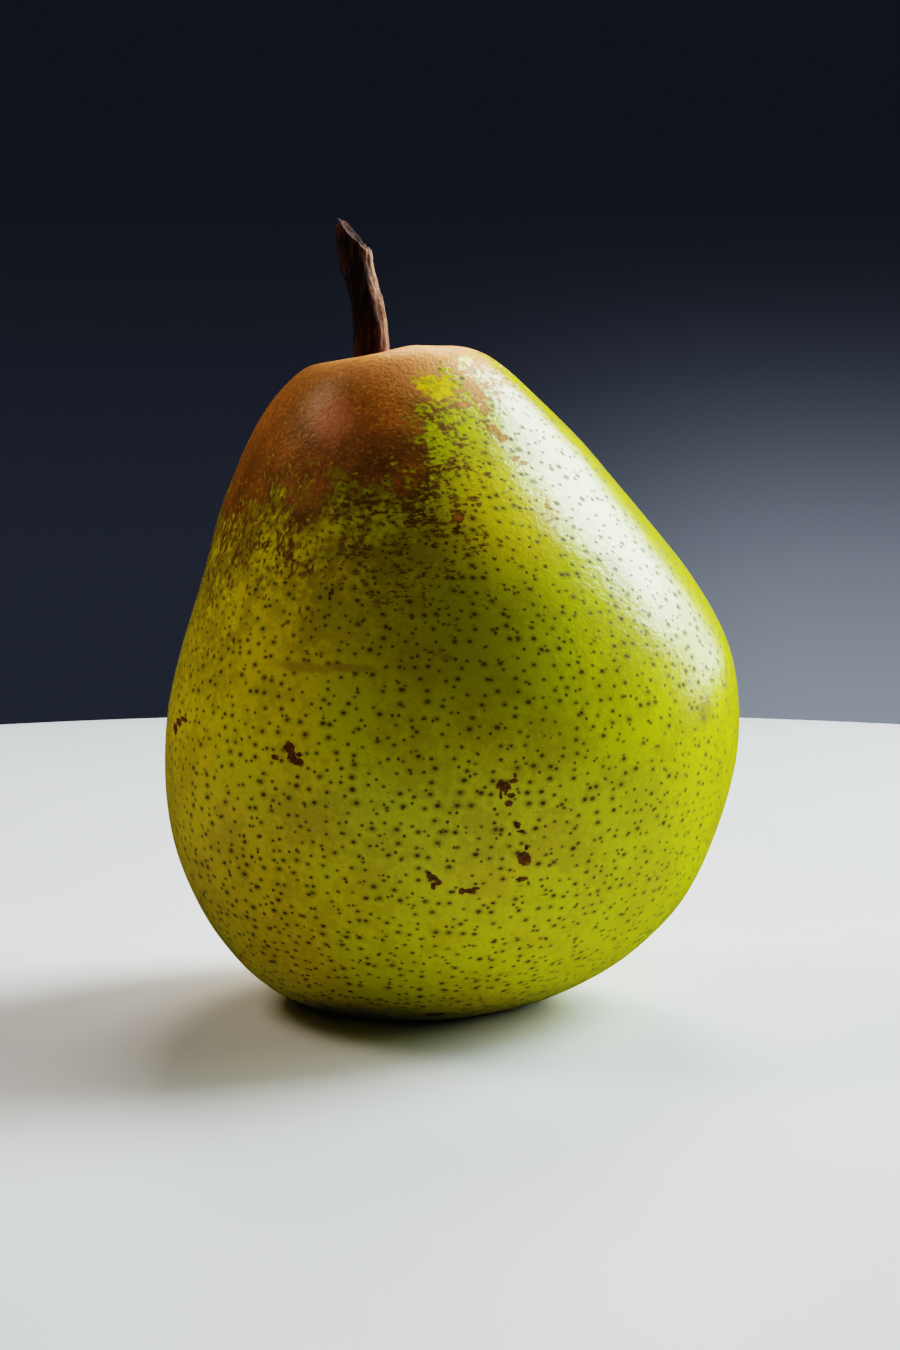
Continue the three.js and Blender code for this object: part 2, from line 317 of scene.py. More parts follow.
def russet_cover(place, x, z, bare, flecks):
    """Where the russet grows: 1 on it, 0 on bare skin, with its depth in mm behind its edge."""
    above_foot = z - 0.12 * x - RUSSET_FOOT
    behind_side = (RUSSET_SIDE - x) * 1.5
    above_crest = (z - 0.1 * x - RUSSET_CREST) * 2.5
    depth = larger(smaller(above_foot, behind_side), above_crest)
    depth = depth + (grain(place, 11, 1) - 0.5) * 14 + fade_out(x, -27.0, -19.0) * 3

    # Its edge dissolves into specks, which lie flat in front and stand upright on the left
    flat_specks = grain(stretched(place, 1.0, 1.0, 1.8), 0.85, 3, 0.6)
    long_specks = grain(stretched(place, 1.7, 1.7, 0.8), 0.95, 3, 0.6)
    left = fade_out(x, -18.0, -8.0)
    specks = flat_specks + left * (long_specks - flat_specks)
    clumps = grain(place, 2.8, 2, 0.55)
    cover = specks * 0.66 + clumps * 0.34 + depth * 0.0065
    cover = cover + fade(depth, -2.0, 10.0) * 0.2 - fade_out(depth, -22.0, -10.0) * 0.13
    cover = cover - bare * 0.2 + flecks * 0.3

    # A little more of it grows round the calyx
    over_calyx = (CALYX_MIDDLE.x / MM, CALYX_MIDDLE.y / MM, 0)
    from_calyx = vectors("DISTANCE", stretched(place, 1, 1, 0), over_calyx)
    round_calyx = fade_out(from_calyx, 2.0, 11.0) * fade_out(z, 6.0, 10.0)
    cover = larger(cover, clumps * 0.4 + specks * 0.3 + round_calyx * 0.26)
    return fade(cover, 0.45, 0.56), depth


def russet_shades(x, z, depth, middling, fine, grit, pink_sheen, flecks):
    """Colour of the russet: thin and dark at its edge, tan inside with a painted pink sheen, and
    painted light on the crest.
    """
    thick = fade(depth + (middling - 0.5) * 16, -2.0, 10.0) * (1 - 0.5 * fade_out(x, -26.0, -15.0))
    shades = mix(thick, RUSSET_THIN, RUSSET_DEEP)
    patches = fade(fine * 0.5 + middling * 0.8, 0.55, 0.85) * thick
    shades = mix(patches * 0.6, shades, RUSSET_TAN)
    # Painted sheen: pink on the bulge left of the stem
    shades = mix(pink_sheen * 0.8, shades, RUSSET_SHEEN_PINK)
    # Painted light: flecks on the lit side in a lighter copy of the russet
    shades = mix(flecks * 0.9, shades, RUSSET_PAINTED_LIT)
    # Painted light: the crest paler where light from above and behind falls on it
    crest = fade(z + x * 0.25, 70.0, 77.0)
    shades = mix(crest * 0.95, shades, RUSSET_CREST_LIGHT)
    shades = mix(fade(grit, 0.56, 0.68) * thick * 0.6, shades, RUSSET_GOLD)
    return mix(fade_out(grit, 0.34, 0.46) * 0.4, shades, RUSSET_THIN)


def loose_dots(place, cell, size, wobble):
    """Small dots strewn without a map: 1 inside them, all sizes up to the largest."""
    return fade_out(from_strewn(place, cell) + wobble, size * 0.5, size)


def large_lenticels(pen, girth, turned):
    """Distance in mm to the nearest large lenticel, its random numbers, and 1 on its half."""
    round_skin, along_skin, _ = split(pen.node("ShaderNodeUVMap", {"uv_map": "skin_way"}))
    if turned:
        round_skin = round_skin.maths("FRACT", round_skin + 0.5)
    flat = pen.node(
        "ShaderNodeCombineXYZ", None,
        {"X": round_skin * BELLY_ROUND, "Y": along_skin * SKIN_LENGTH})
    middle = pen.node(
        "ShaderNodeTexVoronoi", {"voronoi_dimensions": "2D", "feature": "F1"},
        {"Vector": flat, "Scale": 1 / LENTICEL_CELL, "Randomness": 0.95}, "Position")
    chances = split(middle.other("Color"))
    rounder = pen.node("ShaderNodeCombineXYZ", None, {"X": girth, "Y": 1.0})
    away = vectors("LENGTH", vectors("MULTIPLY", vectors("SUBTRACT", flat, middle), rounder))
    share_round = split(middle)[0] / BELLY_ROUND
    here = (share_round > 0.25) * (share_round < 0.75)
    return away, chances, here


def lenticel_marks(pen, girth, small_dots, wobble):
    """Masks of all the dots, of the halos round them and of their dull cork."""
    dots = halos = dull = small_dots
    # The map's seam is on its own edge, so each half of the skin takes the map that has it inside
    for turned in (False, True):
        away, (chance_a, chance_b, chance_c), here = large_lenticels(pen, girth, turned)
        kept = here * (chance_a < girth * 1.05)
        size = LENTICEL_SIZE * (0.5 + 0.6 * chance_b * chance_b)
        share = (away + wobble) / size
        dots = larger(dots, fade_out(share, 0.3, 1.25) * kept * (0.8 + 0.2 * chance_c))
        halos = larger(halos, fade_out(share, 0.9, 2.4) * kept)
        dull = larger(dull, fade_out(share, 0.8, 1.7) * kept)
    return dots, halos, dull


def scab_marks(place, front):
    """Masks of the scabs, placed in front and strewn on the back, and of the faint smears."""
    ragged = (grain(place, 0.55, 3, 0.7) - 0.5) * 1.9
    placed = fade_out(to_nearest(place, SCABS) + ragged, 0.85, 1.15) * front
    strewn = fade_out(from_strewn(place, SCAB_CELL) + ragged, 0.7, 1.0) * (1 - front)
    smears = fade_out(to_nearest(place, SMEARS) + ragged, 0.5, 1.3) * front
    return larger(placed, strewn), smears


def skin_finish():
    """Waxy skin with russet round the stem, lenticels, scabs and smears."""
    material, shader, pen = new_finish("pear_skin")
    place = in_mm(pen)
    x, y, z = split(place)
    girth = pen.node("ShaderNodeAttribute", {"attribute_name": "girth"}, None, "Fac")
    front = fade_out(y, -3.0, 1.0)
    middling = grain(place, 6.5, 3, 0.6)
    fine = grain(place, 1.1, 3, 0.6)
    grit = grain(place, 0.45, 2, 0.6)

    from_bare = to_nearest(place, BARE_SPOTS)
    bare = fade_out(from_bare, 0.4, 2.0) * front
    sunny = fade_out(from_bare, 0.8, 3.0) * front
    flecks = fade_out(to_nearest(place, FLECKS), 0.4, 1.8) * front
    # Painted sheen on the russet's bulge left of the stem
    pink_sheen = fade_out(to_nearest(place, PINK_SHEEN_SPOT), 0.2, 1.5) * front
    russet, depth = russet_cover(place, x, z, bare, flecks)

    # Ground colour, with fine russet specks below its edge that spread wide enough to stand also as
    # painted shade over the front, and a bright spot beside the crest
    ground = ground_colour(place, x, z, middling, fine, grit)
    haze_and_shade = fade(depth, -22.0, -4.0) * fade_out(x, -8.0, 2.0) * fade(fine + middling, 0.75, 1.15)
    ground = mix(haze_and_shade * 0.75, ground, RUSSET_HAZE_AND_SHADE)
    ground = mix(sunny * 0.95, ground, BRIGHT_YELLOW)
    # Its orange specks take the same lighter lit copy of the russet, as painted light
    ground = mix(sunny * fade(fine, 0.52, 0.62) * 0.7, ground, RUSSET_PAINTED_LIT)

    # Lenticels on the bare skin, and paler ones on the russet
    wobble = (fine - 0.5) * 0.22
    small_dots = loose_dots(place, *SMALL_DOTS, wobble) * 0.82
    dots, halos, dull = lenticel_marks(pen, girth, small_dots, wobble)
    skin = mix(halos * 0.48, ground, LENTICEL_HALO)
    skin = mix(loose_dots(place, *FAINT_DOTS, wobble * 0.5) * 0.4, skin, LENTICEL_HALO)
    skin = mix(dots * (1 - sunny * 0.9), skin, LENTICEL)
    shades = russet_shades(x, z, depth, middling, fine, grit, pink_sheen, flecks)
    colour = mix(russet, skin, mix(dots * 0.3, shades, RUSSET_GOLD))

    scabs, smears = scab_marks(place, front)
    colour = mix(smears * 0.5, colour, SMEAR)
    colour = mix(scabs * 0.94, colour, mix(fade(grit, 0.4, 0.62), SCAB_DARK, SCAB))
    rough_skin = fade(depth, -4.0, 4.0)
    normal = relief((grit - 0.5) * (0.03 + 0.05 * rough_skin) + (fine - 0.5) * 0.055)
    feed(shader, "Base Color", colour)
    feed(shader, "Roughness", 0.23 + (middling - 0.5) * 0.14 + (fine - 0.5) * 0.14)
    feed(shader, "Normal", normal)
    set_even(shader, {
        "Specular IOR Level": 0.46, "Subsurface Weight": 0.1,
        "Subsurface Radius": (1.0, 0.9, 0.15), "Subsurface Scale": 4 * MM})

    # Russet, lenticels and scabs are dull cork in the wax
    wax = Wire(pen.tree, shader.outputs["BSDF"])
    cork = pen.node(
        "ShaderNodeBsdfPrincipled", None,
        {"Base Color": colour, "Roughness": 0.55, "Specular IOR Level": 0.12, "Normal": normal},
        "BSDF")
    corky = larger(larger(russet * 0.9, dull * 0.8), scabs)
    both = pen.node("ShaderNodeMixShader", None, {0: corky, 1: wax, 2: cork})
    feed(pen.tree.nodes["Material Output"], "Surface", both)
    return material


# Wood of the stem and the dried calyx

BARK_DARK = tint(0.016, 0.007, 0.006)
BARK_BROWN = tint(0.050, 0.020, 0.015)
BARK_TIP = tint(0.085, 0.026, 0.018)
BARK_TAN = tint(0.22, 0.095, 0.055)
BARK_PAINTED_LIGHT = tint(0.58, 0.29, 0.20)
DRIED_DARK = tint(0.018, 0.011, 0.007)
DRIED_BROWN = tint(0.13, 0.075, 0.035)


def stem_finish():
    """Dark fibrous bark, with painted light on its right side and redder at the broken tip."""
    material, shader, pen = new_finish("stem_bark")
    place = in_mm(pen)
    x, _, z = split(place)
    fibres = grain(stretched(place, 1, 1, 0.12), 0.5, 4, 0.65, 0.4)
    patches = grain(stretched(place, 1, 1, 0.5), 2.2, 3, 0.6)
    pores = grain(place, 0.35, 2, 0.6)
    colour = mix(fade(fibres + (patches - 0.5) * 0.5, 0.38, 0.6), BARK_DARK, BARK_BROWN)
    colour = mix(fade(fibres + (patches - 0.5) * 0.9, 0.56, 0.74) * 0.4, colour, BARK_TAN)
    colour = mix(fade(pores, 0.56, 0.7) * 0.35, colour, BARK_DARK)
    # Painted light: the right side, which faces the window, paler in streaks along the fibres
    right_of_middle = x + 0.19 * z - 6.8  # mm, from a line that leans as the stem does
    painted_side_light = fade(right_of_middle + (patches - 0.5) * 1.4, -0.4, 0.7)
    painted_side_light = painted_side_light * (0.3 + 0.6 * fade(fibres, 0.35, 0.6))
    colour = mix(painted_side_light, colour, BARK_PAINTED_LIGHT)
    colour = mix(fade(z + (patches - 0.5) * 4, 90.3, 92.0) * 0.8, colour, BARK_TIP)
    feed(shader, "Base Color", colour)
    feed(shader, "Roughness", 0.6 + fibres * 0.35)
    feed(shader, "Normal", relief((fibres - 0.5) * 0.2 + (pores - 0.5) * 0.05))
    set_even(shader, {"Specular IOR Level": 0.12})
    return material


def calyx_finish():
    """Brown dried remains, dark in their wrinkles."""
    material, shader, pen = new_finish("dried_calyx")
    place = in_mm(pen)
    wrinkles = grain(place, 0.7, 3, 0.6, 0.5)
    patches = grain(place, 2.0, 2)
    colour = mix(fade(wrinkles + (patches - 0.5) * 0.6, 0.4, 0.68), DRIED_DARK, DRIED_BROWN)
    feed(shader, "Base Color", colour)
    feed(shader, "Roughness", 0.65 + wrinkles * 0.3)
    feed(shader, "Normal", relief((wrinkles - 0.5) * 0.2))
    return material


# Modelling by hand

def take(*pieces):
    """Selects these pieces alone, and makes the first of them active."""
    bpy.ops.object.select_all(action="DESELECT")
    for piece in pieces:
        piece.select_set(True)
    bpy.context.view_layer.objects.active = pieces[0]


def begin(add, name, **place):
    """Adds a primitive with nothing else selected, and opens it in edit mode."""
    bpy.ops.object.select_all(action="DESELECT")
    add(**place)
    piece = bpy.context.object
    piece.name = name
    bpy.ops.object.transform_apply(location=True, rotation=True, scale=True)
    bpy.ops.object.mode_set(mode="EDIT")
    bpy.ops.mesh.select_all(action="SELECT")
    return piece


def choose(piece, kind, test):
    """Selects the vertices or faces of the open piece that pass a test."""
    bpy.ops.mesh.select_mode(type="VERT" if kind == "verts" else "FACE")
    bpy.ops.mesh.select_all(action="DESELECT")
    mesh = bmesh.from_edit_mesh(piece.data)
    for part in getattr(mesh, kind):
        part.select_set(test(part))
    mesh.select_flush(True)
    bmesh.update_edit_mesh(piece.data)


def add_ring(piece, middle, grow):
    """Extrudes the selected ring to a new middle and size."""
    mesh = bmesh.from_edit_mesh(piece.data)
    ring = [v.co.copy() for v in mesh.verts if v.select]
    old = sum(ring, Vector()) / len(ring)
    bpy.ops.mesh.extrude_region_move(TRANSFORM_OT_translate={"value": middle - old})
    bpy.ops.transform.resize(value=grow, center_override=middle)


def build_rings(name, around, rings, **settings):
    """A piece begun as a circle and extruded from ring to ring, each one's middle and radius."""
    middle, radius = rings[0]
    piece = begin(
        bpy.ops.mesh.primitive_circle_add, name, vertices=around, radius=radius, location=middle,
        **settings)
    for middle, next_radius in rings[1:]:
        grow = next_radius / radius
        add_ring(piece, middle, (grow, grow, 1))
        radius = next_radius
    return piece


def close_ring():
    """Draws the selected ring in to a point."""
    bpy.ops.mesh.extrude_region_move()
    bpy.ops.mesh.merge(type="CENTER")


def face_outwards():
    """Turns all faces of the open piece outwards, and leaves them selected."""
    bpy.ops.mesh.select_all(action="SELECT")
    bpy.ops.mesh.normals_make_consistent(inside=False)


def push(rise):
    """Moves what is selected along its normals, out or in."""
    bpy.ops.transform.shrink_fatten(value=rise)


def apply_modifier(piece, kind, **settings):
    """Adds a modifier with its settings and applies it."""
    take(piece)
    modifier = piece.modifiers.new(kind.lower(), kind)
    for name, setting in settings.items():
        setattr(modifier, name, setting)
    bpy.ops.object.modifier_apply(modifier=modifier.name)


def smooth_out(piece, levels):
    """Subdivides a piece into a smooth surface."""
    apply_modifier(piece, "SUBSURF", levels=levels, render_levels=levels, uv_smooth="NONE")


def roughen(piece, name, clouds, group=""):
    """Pushes the surface in and out by soft clouds, whose size and strength are in mm."""
    size, strength = clouds
    texture = bpy.data.textures.new(name, "CLOUDS")
    texture.noise_scale = size * MM
    texture.noise_depth = 1
    apply_modifier(
        piece, "DISPLACE", texture=texture, texture_coords="LOCAL", strength=strength * MM,
        mid_level=0.5, vertex_group=group)


def dress(piece, finish, node):
    """Sets a finished piece's place in its mesh, its material and what it stands for."""
    take(piece)
    bpy.ops.object.transform_apply(location=True, rotation=True, scale=True)
    bpy.ops.object.shade_smooth()
    piece.data.materials.clear()
    piece.data.materials.append(finish)
    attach(piece, "root")
    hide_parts(node)


def copy_of(piece, location, rotation, size):
    """A copy with its own mesh, at a place, turn and size."""
    take(piece)
    bpy.ops.object.duplicate(linked=False)
    copy = bpy.context.object
    copy.location = location
    copy.rotation_euler = rotation
    copy.scale = (size, size, size)
    return copy


def join(pieces):
    """Makes one object of several, the first one's."""
    take(*pieces)
    bpy.ops.object.join()
    return pieces[0]


def discard(piece):
    """Deletes a piece that has been copied."""
    take(piece)
    bpy.ops.object.delete()


def between(steps, place):
    """A step's numbers at a place between two steps. Each step starts with its own place."""
    for before, after in zip(steps, steps[1:]):
        if place <= after[0]:
            break
    share = min(max((place - before[0]) / (after[0] - before[0]), 0), 1)
    return [old + share * (new - old) for old, new in zip(before[1:], after[1:])]


# Fruit

FRUIT_AROUND = 32
FRUIT_CORE = -4  # mm, an x that is inside the fruit at every height
FEEL_FROM = 60  # mm from the core to where the solid is felt from, well outside it
SIDES = {"left": (-1, 0, 0), "right": (1, 0, 0), "near": (0, -1, 0), "far": (0, 1, 0)}
# Rings of the calyx's hollow and of the stem's: radius, height in mm
HOLLOW_RINGS = [(1.2, 5.95), (3.7, 5.7), (6.3, 3.8), (8.4, 0.9), (10.2, 0.1), (12.6, 0.1)]
BODY_HEIGHTS = [1.4, 4.9, 8.5, 12.5, 17, 22, 27, 32, 37, 42, 47, 51.5, 56, 60, 63.5, 67, 70]
SHOULDER_RINGS = [(15.2, 71.6), (11.6, 75.4), (8.4, 76.8), (5.4, 75.6), (3.4, 74.6), (1.4, 73.6)]
RING_FLAT = 0.1  # mm that a ring's points may stand off its height
WAIST = 40  # mm, between the two hollows
STEM_SOCKET = 3.6  # mm round the stem's foot where the skin isn't drawn to the solid
CALYX_SOCKET = 3.2  # mm round the calyx's middle, likewise
FLAT_FOOT = 2.5  # mm up to which the skin stays even, to stand flat
# Unevenness of the skin, in mm: size of the clouds, and how far they push in all
SWELLINGS = (14, 0.3)
DIMPLES = (4.5, 0.07)


def across(height):
    """Middle and mean half width of the fruit's solid at a height, felt from outside."""
    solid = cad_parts["fruit"]
    core = Vector((FRUIT_CORE * MM, 0, height))
    felt = {}
    for side, way in SIDES.items():
        outside = core + Vector(way) * FEEL_FROM * MM
        felt[side] = solid.ray_cast(outside, -Vector(way))[1]
    middle = Vector((
        (felt["left"].x + felt["right"].x) / 2, (felt["near"].y + felt["far"].y) / 2, height))
    half = (felt["right"].x - felt["left"].x + felt["far"].y - felt["near"].y) / 4
    return middle, half


def fruit_rings():
    """Middle and radius of every ring of the fruit, from the calyx round to the stem."""
    rings = []
    for radius, height in HOLLOW_RINGS:
        rings.append((Vector((CALYX_MIDDLE.x, CALYX_MIDDLE.y, height * MM)), radius * MM))
    rings += [across(height * MM) for height in BODY_HEIGHTS]
    last_middle = rings[-1][0]
    for i, (radius, height) in enumerate(SHOULDER_RINGS):
        middle = last_middle.lerp(STEM_FOOT, (i + 1) / len(SHOULDER_RINGS))
        rings.append((Vector((middle.x, middle.y, height * MM)), radius * MM))
    return rings


def lay_skin_way(piece, rings):
    """Gives the skin a map that follows it, round and along, and each point its ring's girth."""
    along = [0.0]
    for (before, small), (after, large) in zip(rings, rings[1:]):
        along.append(along[-1] + math.hypot(large - small, after.z - before.z))
    belly = max(radius for middle, radius in rings)
    mesh = piece.data
    girth = mesh.attributes.new("girth", "FLOAT", "POINT")
    for i, value in enumerate(girth.data):
        value.value = rings[i // FRUIT_AROUND][1] / belly
    # The lenticels read the first map, and the second is the map to bake on
    ways = [mesh.uv_layers.new(name=name) for name in ("skin_way", "OFBake")]
    for face in mesh.polygons:
        places = [mesh.loops[loop].vertex_index for loop in face.loop_indices]
        wraps = {place % FRUIT_AROUND for place in places} == {0, FRUIT_AROUND - 1}
        for loop, place in zip(face.loop_indices, places):
            step = place % FRUIT_AROUND
            if wraps and step == 0:
                step = FRUIT_AROUND
            for way in ways:
                way.data[loop].uv = (step / FRUIT_AROUND, along[place // FRUIT_AROUND] / along[-1])


def in_socket(point):
    """Whether a point is under the stem or the calyx, in the middle of its hollow."""
    if point.z > WAIST * MM:
        return (point.xy - STEM_FOOT.xy).length < STEM_SOCKET * MM
    return (point.xy - CALYX_MIDDLE.xy).length < CALYX_SOCKET * MM


def make_fruit():
    """The skin: rings laid on the solid from hollow to hollow, drawn to it and made uneven."""
    rings = fruit_rings()
    fruit = build_rings("fruit_skin", FRUIT_AROUND, rings, rotation=(0, 0, math.pi / 2))
    bpy.ops.object.mode_set(mode="OBJECT")
    lay_skin_way(fruit, rings)

    # Poles: the last ring and the first are drawn in to a point
    bpy.ops.object.mode_set(mode="EDIT")
    for height in (rings[-1][0].z, rings[0][0].z):
        choose(fruit, "verts", lambda v: v.is_boundary and abs(v.co.z - height) < RING_FLAT * MM)
        close_ring()
    face_outwards()
    bpy.ops.object.mode_set(mode="OBJECT")

    smooth_out(fruit, 1)
    points = fruit.data.vertices
    fitted = fruit.vertex_groups.new(name="fitted")
    fitted.add([v.index for v in points if not in_socket(v.co)], 1.0, "REPLACE")
    apply_modifier(
        fruit, "SHRINKWRAP", target=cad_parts["fruit"], wrap_method="NEAREST_SURFACEPOINT",
        vertex_group="fitted")
    smooth_out(fruit, 2)
    points = fruit.data.vertices
    raised = fruit.vertex_groups.new(name="raised")
    raised.add([v.index for v in points if v.co.z > FLAT_FOOT * MM], 1.0, "REPLACE")
    roughen(fruit, "swellings", SWELLINGS, "raised")
    roughen(fruit, "dimples", DIMPLES, "raised")
    dress(fruit, skin_finish(), "fruit")


# Stem

STEM_AROUND = 24
# Up the stem, in mm: height, middle (x, y), half width
STEM_RINGS = [
    (71.2, -9.6, 0.5, 3.1),
    (72.4, -9.5, 0.5, 2.75),
    (73.4, -9.5, 0.6, 2.45),
    (74.4, -9.5, 0.7, 2.28),
    (76.0, -9.5, 0.75, 2.18),
    (78.0, -9.5, 0.85, 2.1),
    (80.0, -9.6, 1.0, 2.02),
    (82.0, -9.8, 1.15, 1.93),
    (84.0, -10.2, 1.4, 1.87),
    (85.8, -10.75, 1.7, 1.87),
    (87.4, -11.3, 2.0, 1.92),
    (88.8, -11.5, 2.25, 1.88),
    (90.0, -11.75, 2.45, 1.82),
    (91.2, -11.9, 2.65, 1.75),
    (92.6, -12.0, 2.9, 1.7),
    (94.2, -12.1, 3.1, 1.65),
]
# Ridges and fissures: angle at the foot in degrees from +X, twist in degrees per mm, heights from
# and to in mm, rise in mm
STEM_LINES = [
    (-18, 0.9, 73, 92, 0.12),
    (-48, 1.1, 75, 92, -0.13),
    (-80, 1.0, 73, 90, 0.07),
    (-112, 0.8, 76, 91, -0.10),
    (-140, 1.0, 73, 88, 0.08),
    (-175, 0.9, 74, 92, -0.12),
    (148, 1.0, 73, 92, 0.09),
    (112, 1.0, 75, 90, -0.10),
    (70, 1.1, 73, 91, 0.10),
    (28, 0.9, 76, 92, -0.12),
]
STEM_LINE_HALF = 7  # degrees to each side
# Knobs under the broken end and scars of buds: place in mm, reach, rise
STEM_KNOBS = [
    ((-9.7, 1.6, 89.0), 1.1, 0.22),
    ((-13.3, 1.4, 87.0), 0.9, 0.18),
    ((-11.3, 4.2, 85.5), 1.0, 0.25),
    ((-8.0, -0.6, 79.5), 0.8, 0.12),
]
STEM_BREAK = Vector((-11.7, 2.4, 91.0)) * MM  # in the middle of the slanted broken end
STEM_BREAK_FACES = Vector((0.70, -0.16, 0.70))
STEM_CORNER = Vector((-13.2, 2.6, 92.3)) * MM  # where the tip's outer corner has chipped off
STEM_CORNER_FACES = Vector((-0.62, 0.1, 0.78))
# Insets of the broken end, in mm: how far in from its rim, how far out of the wood
BREAK_INSETS = [(0.12, 0.0), (0.35, -0.12), (0.5, -0.3)]
# Unevenness of the wood, in mm: size of the clouds, and how far they push in all
KNOTS = (1.6, 0.22)
BARK = (0.5, 0.10)


def on_stem_line(vertex, angle, twist, low, high):
    """Whether a vertex of the stem is on a line that winds up round it."""
    height = vertex.co.z / MM
    if not low < height < high:
        return False
    middle_x, middle_y, _ = between(STEM_RINGS, height)
    turn = math.degrees(math.atan2(vertex.co.y - middle_y * MM, vertex.co.x - middle_x * MM))
    turned = turn - angle - twist * (height - low)
    return abs((turned + 180) % 360 - 180) < STEM_LINE_HALF


def make_stem():
    """A woody stalk, broken off on the slant, with ridges, fissures and knobs in its bark."""
    rings = [(Vector((x, y, height)) * MM, half * MM) for height, x, y, half in STEM_RINGS]
    stem = build_rings("stem_wood", STEM_AROUND, rings, fill_type="NGON")
    face_outwards()

    # The broken end: cut on the slant, its rim kept crisp, its pith sunk
    for place, faces in ((STEM_CORNER, STEM_CORNER_FACES), (STEM_BREAK, STEM_BREAK_FACES)):
        bpy.ops.mesh.select_all(action="SELECT")
        bpy.ops.mesh.bisect(plane_co=place, plane_no=faces, use_fill=True, clear_outer=True)
    # No other face that looks this way has more than a few sides
    choose(stem, "faces", lambda f: f.normal.dot(STEM_BREAK_FACES) > 0.9 and len(f.verts) > 6)
    for thickness, depth in BREAK_INSETS:
        bpy.ops.mesh.inset(thickness=thickness * MM, depth=depth * MM)
    bpy.ops.object.mode_set(mode="OBJECT")
    smooth_out(stem, 1)

    bpy.ops.object.mode_set(mode="EDIT")
    for angle, twist, low, high, rise in STEM_LINES:
        choose(stem, "verts", lambda v: on_stem_line(v, angle, twist, low, high))
        push(rise * MM)
    for place, reach, rise in STEM_KNOBS:
        choose(stem, "verts", lambda v: (v.co - Vector(place) * MM).length < reach * MM)
        push(rise * MM)
    bpy.ops.object.mode_set(mode="OBJECT")
    smooth_out(stem, 2)
    roughen(stem, "knots", KNOTS)
    roughen(stem, "bark", BARK)
    dress(stem, stem_finish(), "stem")


# Calyx

DISC_AROUND = 30
# Down the disc that the sepals spring from, and up into its cup: radius, height in mm
DISC_RINGS = [
    (2.5, 6.2), (2.75, 5.2), (3.0, 4.5), (3.05, 3.95), (2.7, 3.6), (2.2, 3.45), (1.8, 3.55),
    (1.5, 3.95), (0.8, 4.15),
]
# Along a sepal, in mm: reach from its foot, drop, half width
SEPAL_STEPS = [
    (0.9, -0.05, 1.35),
    (1.8, 0.05, 1.25),
    (2.6, 0.35, 1.0),
    (3.3, 0.8, 0.68),
    (3.8, 1.2, 0.34),
    (4.0, 1.45, 0.1),
]
SEPAL_STRIP = 0.4  # mm along the strip that a sepal is begun from
SEPAL_FOOT_HALF = 1.1
SEPAL_THICK = 0.32
SEPAL_ARCH = 0.28  # mm that its edges hang below its middle
SEPAL_ROOT = 1.9  # mm from the calyx's middle to the foot of a sepal
SEPAL_HEIGHT = 3.75
# Each sepal: turn, size, lean in degrees, and roll
SEPALS = [
    (14, 1.0, 4, 6), (88, 0.9, -9, -10), (159, 1.05, 8, 4), (231, 0.86, -4, -14), (303, 0.96, 9, 9),
]
STAMEN_AROUND = 6
STAMEN_TOP = 0.14  # mm, radius
# Down a withered stamen, in mm: sideways, drop, radius
STAMEN_STEPS = [
    (0.05, 0.45, 0.12), (0.16, 0.9, 0.1), (0.3, 1.3, 0.11), (0.36, 1.5, 0.2), (0.42, 1.75, 0.19),
    (0.45, 1.9, 0.08),
]
STAMENS = 17
STAMEN_SPREAD = 1.45
STAMEN_ROOT = 4.2
STAMEN_LEAN = 0.35  # radians, at most
STAMEN_TURN = 6.28  # radians, all the way round
STAMEN_SIZES = (0.75, 1.1)
GOLDEN_TURN = math.radians(137.5)
CRUMPLES = (0.9, 0.22)  # mm, size of the clouds, and how far they push in all


def make_disc():
    """The disc in the middle of the calyx, with its cup."""
    middle = CALYX_MIDDLE.xy.to_3d()
    rings = [
        (middle + Vector((0, 0, height * MM)), radius * MM) for radius, height in DISC_RINGS]
    disc = build_rings("calyx_remains", DISC_AROUND, rings)
    close_ring()
    choose(disc, "verts", lambda v: v.is_boundary)
    close_ring()
    face_outwards()
    bpy.ops.object.mode_set(mode="OBJECT")
    smooth_out(disc, 1)
    return disc


def sepal_half_at(reach):
    """Half the sepal's width in mm at a reach in mm."""
    return between([(0.0, 0.0, SEPAL_FOOT_HALF)] + SEPAL_STEPS, reach)[1]


def make_sepal():
    """One dried sepal along +X: a pointed blade, arched across, its tip curled down."""
    end = SEPAL_STRIP / 2
    sepal = begin(
        bpy.ops.mesh.primitive_plane_add, "sepal", size=SEPAL_STRIP * MM, location=(0, 0, 0))
    bpy.ops.transform.resize(value=(1, SEPAL_FOOT_HALF / end, 1), center_override=(0, 0, 0))
    bpy.ops.mesh.subdivide(number_cuts=3)
    choose(sepal, "verts", lambda v: v.co.x > 0.95 * end * MM)
    half = SEPAL_FOOT_HALF
    for reach, drop, next_half in SEPAL_STEPS:
        add_ring(sepal, Vector((reach, 0, -drop)) * MM, (1, next_half / half, 1))
        half = next_half
    # The two outer rows on each side hang, and the outermost hangs twice as far
    for share in (0.5, 1.0):
        row = 0.95 * share * MM
        choose(sepal, "verts", lambda v: abs(v.co.y) > row * sepal_half_at(v.co.x / MM))
        bpy.ops.transform.translate(value=(0, 0, -SEPAL_ARCH * MM / 2))
    bpy.ops.object.mode_set(mode="OBJECT")
    apply_modifier(sepal, "SOLIDIFY", thickness=SEPAL_THICK * MM, offset=0)
    smooth_out(sepal, 2)
    return sepal


